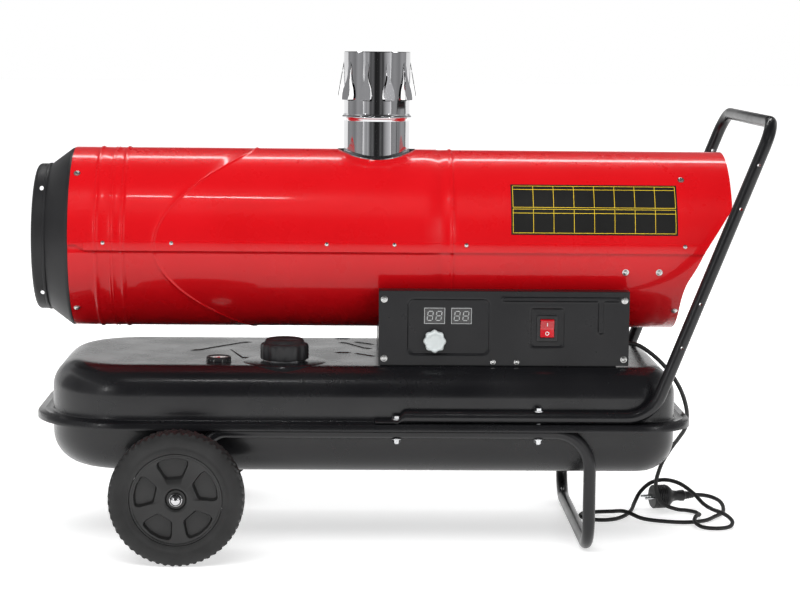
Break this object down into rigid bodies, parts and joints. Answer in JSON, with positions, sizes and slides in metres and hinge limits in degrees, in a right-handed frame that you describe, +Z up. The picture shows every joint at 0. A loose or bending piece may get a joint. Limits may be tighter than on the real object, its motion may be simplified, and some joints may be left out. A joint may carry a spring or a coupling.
{
  "type": "forced air heater",
  "caption": "Wheeled indirect oil-fired air heater: round casing over a flat fuel tank, with a top flue, push handle, control box and mains lead.",
  "frame": {"origin": "on the floor, under the middle of the heater's length and width, mains lead and plug left out", "axes": "+X from the hot air outlet towards the push handle, +Y from the control panel's side to the other side, +Z up"},
  "size_m": [1.1212, 0.618, 0.7493],
  "materials": {
    "red_paint": "gloss",
    "black_paint": "satin",
    "stainless": "bright",
    "cast_grey": "matt",
    "zinc": "zinc plated",
    "rubber": "matt",
    "tyre": "matt",
    "black_plastic": "satin",
    "grey_plastic": "satin",
    "white_plastic": "gloss",
    "red_plastic": "gloss",
    "brass": "plain",
    "ceramic": "glazed",
    "circuit": "satin"
  },
  "bodies": {
    "heater": {"axle": "zinc", "axle_cap_far": "zinc", "axle_cap_near": "zinc", "axle_spacer_far": "zinc", "axle_spacer_near": "zinc", "blower_housing": "cast_grey", "burner_tube": "cast_grey", "cable_gland": "black_plastic", "casing_lower_shell": "red_paint", "casing_upper_shell": "red_paint", "chamber_support_front": "cast_grey", "chamber_support_rear": "cast_grey", "circuit_board": "circuit", "combustion_chamber": "stainless", "control_box": "black_paint", "control_panel": "black_paint", "crossover_duct": "stainless", "delivery_hose": "rubber", "diffuser_disc": "stainless", "display_module": "black_plastic", "drain_plug": "zinc", "fan_motor": "cast_grey", "filler_neck": "zinc", "filler_strainer": "white_plastic", "flue_collar": "stainless", "flue_cowl": "stainless", "flue_pipe": "stainless", "fuel_filter": "white_plastic", "fuel_gauge": "white_plastic", "fuel_pickup": "brass", "fuel_pump": "zinc", "handle_frame": "black_paint", "heat_exchanger": "stainless", "ignition_electrodes": "ceramic", "ignition_transformer": "black_plastic", "intake_guard": "zinc", "motor_bracket": "cast_grey", "nozzle_holder": "brass", "outlet_cone": "black_paint", "overheat_sensor": "ceramic", "power_cord": "rubber", "power_plug": "black_plastic", "stand_frame": "black_paint", "suction_hose": "rubber", "switch_housing": "black_plastic", "tank_lower_shell": "black_paint", "tank_upper_shell": "black_paint", "thermostat": "black_plastic"},
    "wheel_near_set": {"wheel_near": "black_plastic", "tyre_near": "tyre"},
    "wheel_far_set": {"wheel_far": "black_plastic", "tyre_far": "tyre"},
    "rotor": {"motor_shaft": "zinc", "axial_fan": "cast_grey", "burner_impeller": "zinc"},
    "thermostat_control": {"thermostat_knob": "grey_plastic"},
    "rocker": {"rocker_switch": "red_plastic"},
    "cap_seal": {"cap_gasket": "rubber"},
    "cap": {"fuel_cap": "black_plastic"},
    "float_arm": {"gauge_float": "black_plastic"}
  },
  "joints": [
    {"name": "wheel_near_spin", "type": "hinge", "parent": "heater", "child": "wheel_near_set", "pos_m": [-0.3278, -0.28, 0.1], "axis": [0, 1, 0], "continuous": true},
    {"name": "wheel_far_spin", "type": "hinge", "parent": "heater", "child": "wheel_far_set", "pos_m": [-0.3278, 0.28, 0.1], "axis": [0, 1, 0], "continuous": true},
    {"name": "fan_spin", "type": "hinge", "parent": "heater", "child": "rotor", "pos_m": [0.3, 0, 0.458], "axis": [1, 0, 0], "continuous": true},
    {"name": "thermostat_turn", "type": "hinge", "parent": "heater", "child": "thermostat_control", "pos_m": [0.0533, -0.15, 0.3167], "axis": [0, 1, 0], "range_deg": [0, 300]},
    {"name": "rocker_tilt", "type": "hinge", "parent": "heater", "child": "rocker", "pos_m": [0.224, -0.152, 0.3364], "axis": [-1, 0, 0], "range_deg": [0, 16]},
    {"name": "cap_lift", "type": "slide", "parent": "heater", "child": "cap_seal", "axis": [0, 0, 1], "range_m": [0, 0.03]},
    {"name": "cap_turn", "type": "hinge", "parent": "cap_seal", "child": "cap", "pos_m": [-0.1744, -0.11, 0.3], "axis": [0, 0, 1], "range_deg": [0, 90]},
    {"name": "float_swing", "type": "hinge", "parent": "heater", "child": "float_arm", "pos_m": [-0.275, -0.11, 0.252], "axis": [0, 1, 0], "range_deg": [0, 55]}
  ]
}
